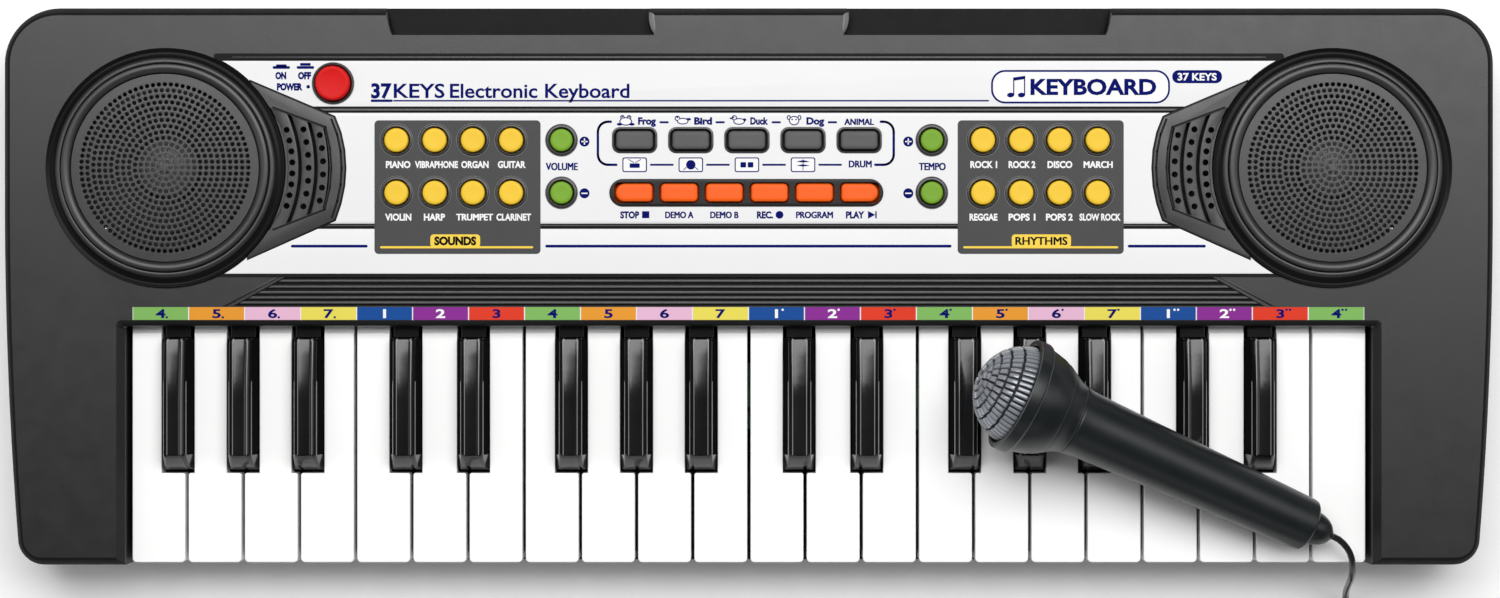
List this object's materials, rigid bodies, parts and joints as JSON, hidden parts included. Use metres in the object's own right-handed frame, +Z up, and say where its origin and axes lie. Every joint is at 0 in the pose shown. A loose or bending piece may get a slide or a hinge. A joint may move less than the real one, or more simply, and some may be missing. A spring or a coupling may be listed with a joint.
{
  "type": "toy electronic keyboard",
  "caption": "Toy electronic keyboard with hinged mini keys, rubber button pads under a printed panel, round speakers and a wired toy microphone.",
  "frame": {"origin": "centre of the case's footprint, on the surface its feet stand on", "axes": "+X along the keys from bass to treble, +Y from the player to the rear, +Z up"},
  "size_m": [0.535, 0.2664, 0.0869],
  "materials": {
    "case_dark_grey": "satin",
    "panel_white": "satin",
    "key_white": "gloss",
    "key_black": "gloss",
    "button_yellow": "satin",
    "button_green": "satin",
    "button_grey": "matte",
    "button_orange": "satin",
    "button_red": "satin",
    "speaker_black": "matte",
    "board_green": "satin",
    "mic_black": "satin",
    "mic_silver": "satin",
    "cord_black": "satin"
  },
  "bodies": {
    "root": {"top_case": "case_dark_grey", "bottom_case": "case_dark_grey", "control_panel": "panel_white", "left_speaker_grille": "case_dark_grey", "right_speaker_grille": "case_dark_grey", "left_speaker": "speaker_black", "right_speaker": "speaker_black", "main_board": "board_green", "key_contact_board": "board_green", "key_frame": "speaker_black", "mic_cord": "cord_black", "mic_coil": "cord_black", "mic_plug": "mic_black"},
    "microphone": {"mic_body": "mic_black", "mic_head_grille": "mic_silver"},
    "battery_flap": {"battery_door": "case_dark_grey"},
    "power_button_body": {"power_button": "button_red"},
    "sounds_keypad_body": {"sounds_keypad": "button_yellow"},
    "rhythms_keypad_body": {"rhythms_keypad": "button_yellow"},
    "volume_keypad_body": {"volume_keypad": "button_green"},
    "tempo_keypad_body": {"tempo_keypad": "button_green"},
    "drum_keypad_body": {"drum_keypad": "button_grey"},
    "function_keypad_body": {"function_keypad": "button_orange"},
    "white_key_01_body": {"white_key_01": "key_white"},
    "white_key_02_body": {"white_key_02": "key_white"},
    "white_key_03_body": {"white_key_03": "key_white"},
    "white_key_04_body": {"white_key_04": "key_white"},
    "white_key_05_body": {"white_key_05": "key_white"},
    "white_key_06_body": {"white_key_06": "key_white"},
    "white_key_07_body": {"white_key_07": "key_white"},
    "white_key_08_body": {"white_key_08": "key_white"},
    "white_key_09_body": {"white_key_09": "key_white"},
    "white_key_10_body": {"white_key_10": "key_white"},
    "white_key_11_body": {"white_key_11": "key_white"},
    "white_key_12_body": {"white_key_12": "key_white"},
    "white_key_13_body": {"white_key_13": "key_white"},
    "white_key_14_body": {"white_key_14": "key_white"},
    "white_key_15_body": {"white_key_15": "key_white"},
    "white_key_16_body": {"white_key_16": "key_white"},
    "white_key_17_body": {"white_key_17": "key_white"},
    "white_key_18_body": {"white_key_18": "key_white"},
    "white_key_19_body": {"white_key_19": "key_white"},
    "white_key_20_body": {"white_key_20": "key_white"},
    "white_key_21_body": {"white_key_21": "key_white"},
    "white_key_22_body": {"white_key_22": "key_white"},
    "black_key_01_body": {"black_key_01": "key_black"},
    "black_key_02_body": {"black_key_02": "key_black"},
    "black_key_03_body": {"black_key_03": "key_black"},
    "black_key_04_body": {"black_key_04": "key_black"},
    "black_key_05_body": {"black_key_05": "key_black"},
    "black_key_06_body": {"black_key_06": "key_black"},
    "black_key_07_body": {"black_key_07": "key_black"},
    "black_key_08_body": {"black_key_08": "key_black"},
    "black_key_09_body": {"black_key_09": "key_black"},
    "black_key_10_body": {"black_key_10": "key_black"},
    "black_key_11_body": {"black_key_11": "key_black"},
    "black_key_12_body": {"black_key_12": "key_black"},
    "black_key_13_body": {"black_key_13": "key_black"},
    "black_key_14_body": {"black_key_14": "key_black"},
    "black_key_15_body": {"black_key_15": "key_black"}
  },
  "joints": [
    {"name": "mic_lift", "type": "slide", "parent": "root", "child": "microphone", "axis": [0, 0, 1], "range_m": [0, 0.03]},
    {"name": "battery_door_hinge", "type": "hinge", "parent": "root", "child": "battery_flap", "pos_m": [0, 0.0342, 0.0041], "axis": [-1, 0, 0], "range_deg": [0, 90]},
    {"name": "power_press", "type": "slide", "parent": "root", "child": "power_button_body", "axis": [0, 0, -1], "range_m": [0, 0.0022], "stiffness_N_per_m": 400, "springref_m": -0.0015},
    {"name": "sounds_press", "type": "slide", "parent": "root", "child": "sounds_keypad_body", "axis": [0, 0, -1], "range_m": [0, 0.0012], "stiffness_N_per_m": 400, "springref_m": -0.0015},
    {"name": "rhythms_press", "type": "slide", "parent": "root", "child": "rhythms_keypad_body", "axis": [0, 0, -1], "range_m": [0, 0.0012], "stiffness_N_per_m": 400, "springref_m": -0.0015},
    {"name": "volume_press", "type": "slide", "parent": "root", "child": "volume_keypad_body", "axis": [0, 0, -1], "range_m": [0, 0.0012], "stiffness_N_per_m": 400, "springref_m": -0.0015},
    {"name": "tempo_press", "type": "slide", "parent": "root", "child": "tempo_keypad_body", "axis": [0, 0, -1], "range_m": [0, 0.0012], "stiffness_N_per_m": 400, "springref_m": -0.0015},
    {"name": "drum_press", "type": "slide", "parent": "root", "child": "drum_keypad_body", "axis": [0, 0, -1], "range_m": [0, 0.0012], "stiffness_N_per_m": 400, "springref_m": -0.0015},
    {"name": "function_press", "type": "slide", "parent": "root", "child": "function_keypad_body", "axis": [0, 0, -1], "range_m": [0, 0.0012], "stiffness_N_per_m": 400, "springref_m": -0.0015},
    {"name": "white_key_01_press", "type": "hinge", "parent": "root", "child": "white_key_01_body", "pos_m": [0, 0.0085, 0.032], "axis": [1, 0, 0], "range_deg": [0, 2.6], "stiffness_Nm_per_rad": 0.5, "springref_deg": -4.58},
    {"name": "black_key_01_press", "type": "hinge", "parent": "root", "child": "black_key_01_body", "pos_m": [0, 0.0085, 0.032], "axis": [1, 0, 0], "range_deg": [0, 2.6], "stiffness_Nm_per_rad": 0.5, "springref_deg": -4.58},
    {"name": "white_key_02_press", "type": "hinge", "parent": "root", "child": "white_key_02_body", "pos_m": [0, 0.0085, 0.032], "axis": [1, 0, 0], "range_deg": [0, 2.6], "stiffness_Nm_per_rad": 0.5, "springref_deg": -4.58},
    {"name": "black_key_02_press", "type": "hinge", "parent": "root", "child": "black_key_02_body", "pos_m": [0, 0.0085, 0.032], "axis": [1, 0, 0], "range_deg": [0, 2.6], "stiffness_Nm_per_rad": 0.5, "springref_deg": -4.58},
    {"name": "white_key_03_press", "type": "hinge", "parent": "root", "child": "white_key_03_body", "pos_m": [0, 0.0085, 0.032], "axis": [1, 0, 0], "range_deg": [0, 2.6], "stiffness_Nm_per_rad": 0.5, "springref_deg": -4.58},
    {"name": "black_key_03_press", "type": "hinge", "parent": "root", "child": "black_key_03_body", "pos_m": [0, 0.0085, 0.032], "axis": [1, 0, 0], "range_deg": [0, 2.6], "stiffness_Nm_per_rad": 0.5, "springref_deg": -4.58},
    {"name": "white_key_04_press", "type": "hinge", "parent": "root", "child": "white_key_04_body", "pos_m": [0, 0.0085, 0.032], "axis": [1, 0, 0], "range_deg": [0, 2.6], "stiffness_Nm_per_rad": 0.5, "springref_deg": -4.58},
    {"name": "black_key_04_press", "type": "hinge", "parent": "root", "child": "black_key_04_body", "pos_m": [0, 0.0085, 0.032], "axis": [1, 0, 0], "range_deg": [0, 2.6], "stiffness_Nm_per_rad": 0.5, "springref_deg": -4.58},
    {"name": "white_key_05_press", "type": "hinge", "parent": "root", "child": "white_key_05_body", "pos_m": [0, 0.0085, 0.032], "axis": [1, 0, 0], "range_deg": [0, 2.6], "stiffness_Nm_per_rad": 0.5, "springref_deg": -4.58},
    {"name": "black_key_05_press", "type": "hinge", "parent": "root", "child": "black_key_05_body", "pos_m": [0, 0.0085, 0.032], "axis": [1, 0, 0], "range_deg": [0, 2.6], "stiffness_Nm_per_rad": 0.5, "springref_deg": -4.58},
    {"name": "white_key_06_press", "type": "hinge", "parent": "root", "child": "white_key_06_body", "pos_m": [0, 0.0085, 0.032], "axis": [1, 0, 0], "range_deg": [0, 2.6], "stiffness_Nm_per_rad": 0.5, "springref_deg": -4.58},
    {"name": "black_key_06_press", "type": "hinge", "parent": "root", "child": "black_key_06_body", "pos_m": [0, 0.0085, 0.032], "axis": [1, 0, 0], "range_deg": [0, 2.6], "stiffness_Nm_per_rad": 0.5, "springref_deg": -4.58},
    {"name": "white_key_07_press", "type": "hinge", "parent": "root", "child": "white_key_07_body", "pos_m": [0, 0.0085, 0.032], "axis": [1, 0, 0], "range_deg": [0, 2.6], "stiffness_Nm_per_rad": 0.5, "springref_deg": -4.58},
    {"name": "black_key_07_press", "type": "hinge", "parent": "root", "child": "black_key_07_body", "pos_m": [0, 0.0085, 0.032], "axis": [1, 0, 0], "range_deg": [0, 2.6], "stiffness_Nm_per_rad": 0.5, "springref_deg": -4.58},
    {"name": "white_key_08_press", "type": "hinge", "parent": "root", "child": "white_key_08_body", "pos_m": [0, 0.0085, 0.032], "axis": [1, 0, 0], "range_deg": [0, 2.6], "stiffness_Nm_per_rad": 0.5, "springref_deg": -4.58},
    {"name": "black_key_08_press", "type": "hinge", "parent": "root", "child": "black_key_08_body", "pos_m": [0, 0.0085, 0.032], "axis": [1, 0, 0], "range_deg": [0, 2.6], "stiffness_Nm_per_rad": 0.5, "springref_deg": -4.58},
    {"name": "white_key_09_press", "type": "hinge", "parent": "root", "child": "white_key_09_body", "pos_m": [0, 0.0085, 0.032], "axis": [1, 0, 0], "range_deg": [0, 2.6], "stiffness_Nm_per_rad": 0.5, "springref_deg": -4.58},
    {"name": "black_key_09_press", "type": "hinge", "parent": "root", "child": "black_key_09_body", "pos_m": [0, 0.0085, 0.032], "axis": [1, 0, 0], "range_deg": [0, 2.6], "stiffness_Nm_per_rad": 0.5, "springref_deg": -4.58},
    {"name": "white_key_10_press", "type": "hinge", "parent": "root", "child": "white_key_10_body", "pos_m": [0, 0.0085, 0.032], "axis": [1, 0, 0], "range_deg": [0, 2.6], "stiffness_Nm_per_rad": 0.5, "springref_deg": -4.58},
    {"name": "black_key_10_press", "type": "hinge", "parent": "root", "child": "black_key_10_body", "pos_m": [0, 0.0085, 0.032], "axis": [1, 0, 0], "range_deg": [0, 2.6], "stiffness_Nm_per_rad": 0.5, "springref_deg": -4.58},
    {"name": "white_key_11_press", "type": "hinge", "parent": "root", "child": "white_key_11_body", "pos_m": [0, 0.0085, 0.032], "axis": [1, 0, 0], "range_deg": [0, 2.6], "stiffness_Nm_per_rad": 0.5, "springref_deg": -4.58},
    {"name": "black_key_11_press", "type": "hinge", "parent": "root", "child": "black_key_11_body", "pos_m": [0, 0.0085, 0.032], "axis": [1, 0, 0], "range_deg": [0, 2.6], "stiffness_Nm_per_rad": 0.5, "springref_deg": -4.58},
    {"name": "white_key_12_press", "type": "hinge", "parent": "root", "child": "white_key_12_body", "pos_m": [0, 0.0085, 0.032], "axis": [1, 0, 0], "range_deg": [0, 2.6], "stiffness_Nm_per_rad": 0.5, "springref_deg": -4.58},
    {"name": "black_key_12_press", "type": "hinge", "parent": "root", "child": "black_key_12_body", "pos_m": [0, 0.0085, 0.032], "axis": [1, 0, 0], "range_deg": [0, 2.6], "stiffness_Nm_per_rad": 0.5, "springref_deg": -4.58},
    {"name": "white_key_13_press", "type": "hinge", "parent": "root", "child": "white_key_13_body", "pos_m": [0, 0.0085, 0.032], "axis": [1, 0, 0], "range_deg": [0, 2.6], "stiffness_Nm_per_rad": 0.5, "springref_deg": -4.58},
    {"name": "black_key_13_press", "type": "hinge", "parent": "root", "child": "black_key_13_body", "pos_m": [0, 0.0085, 0.032], "axis": [1, 0, 0], "range_deg": [0, 2.6], "stiffness_Nm_per_rad": 0.5, "springref_deg": -4.58},
    {"name": "white_key_14_press", "type": "hinge", "parent": "root", "child": "white_key_14_body", "pos_m": [0, 0.0085, 0.032], "axis": [1, 0, 0], "range_deg": [0, 2.6], "stiffness_Nm_per_rad": 0.5, "springref_deg": -4.58},
    {"name": "black_key_14_press", "type": "hinge", "parent": "root", "child": "black_key_14_body", "pos_m": [0, 0.0085, 0.032], "axis": [1, 0, 0], "range_deg": [0, 2.6], "stiffness_Nm_per_rad": 0.5, "springref_deg": -4.58},
    {"name": "white_key_15_press", "type": "hinge", "parent": "root", "child": "white_key_15_body", "pos_m": [0, 0.0085, 0.032], "axis": [1, 0, 0], "range_deg": [0, 2.6], "stiffness_Nm_per_rad": 0.5, "springref_deg": -4.58},
    {"name": "black_key_15_press", "type": "hinge", "parent": "root", "child": "black_key_15_body", "pos_m": [0, 0.0085, 0.032], "axis": [1, 0, 0], "range_deg": [0, 2.6], "stiffness_Nm_per_rad": 0.5, "springref_deg": -4.58},
    {"name": "white_key_16_press", "type": "hinge", "parent": "root", "child": "white_key_16_body", "pos_m": [0, 0.0085, 0.032], "axis": [1, 0, 0], "range_deg": [0, 2.6], "stiffness_Nm_per_rad": 0.5, "springref_deg": -4.58},
    {"name": "white_key_17_press", "type": "hinge", "parent": "root", "child": "white_key_17_body", "pos_m": [0, 0.0085, 0.032], "axis": [1, 0, 0], "range_deg": [0, 2.6], "stiffness_Nm_per_rad": 0.5, "springref_deg": -4.58},
    {"name": "white_key_18_press", "type": "hinge", "parent": "root", "child": "white_key_18_body", "pos_m": [0, 0.0085, 0.032], "axis": [1, 0, 0], "range_deg": [0, 2.6], "stiffness_Nm_per_rad": 0.5, "springref_deg": -4.58},
    {"name": "white_key_19_press", "type": "hinge", "parent": "root", "child": "white_key_19_body", "pos_m": [0, 0.0085, 0.032], "axis": [1, 0, 0], "range_deg": [0, 2.6], "stiffness_Nm_per_rad": 0.5, "springref_deg": -4.58},
    {"name": "white_key_20_press", "type": "hinge", "parent": "root", "child": "white_key_20_body", "pos_m": [0, 0.0085, 0.032], "axis": [1, 0, 0], "range_deg": [0, 2.6], "stiffness_Nm_per_rad": 0.5, "springref_deg": -4.58},
    {"name": "white_key_21_press", "type": "hinge", "parent": "root", "child": "white_key_21_body", "pos_m": [0, 0.0085, 0.032], "axis": [1, 0, 0], "range_deg": [0, 2.6], "stiffness_Nm_per_rad": 0.5, "springref_deg": -4.58},
    {"name": "white_key_22_press", "type": "hinge", "parent": "root", "child": "white_key_22_body", "pos_m": [0, 0.0085, 0.032], "axis": [1, 0, 0], "range_deg": [0, 2.6], "stiffness_Nm_per_rad": 0.5, "springref_deg": -4.58}
  ]
}
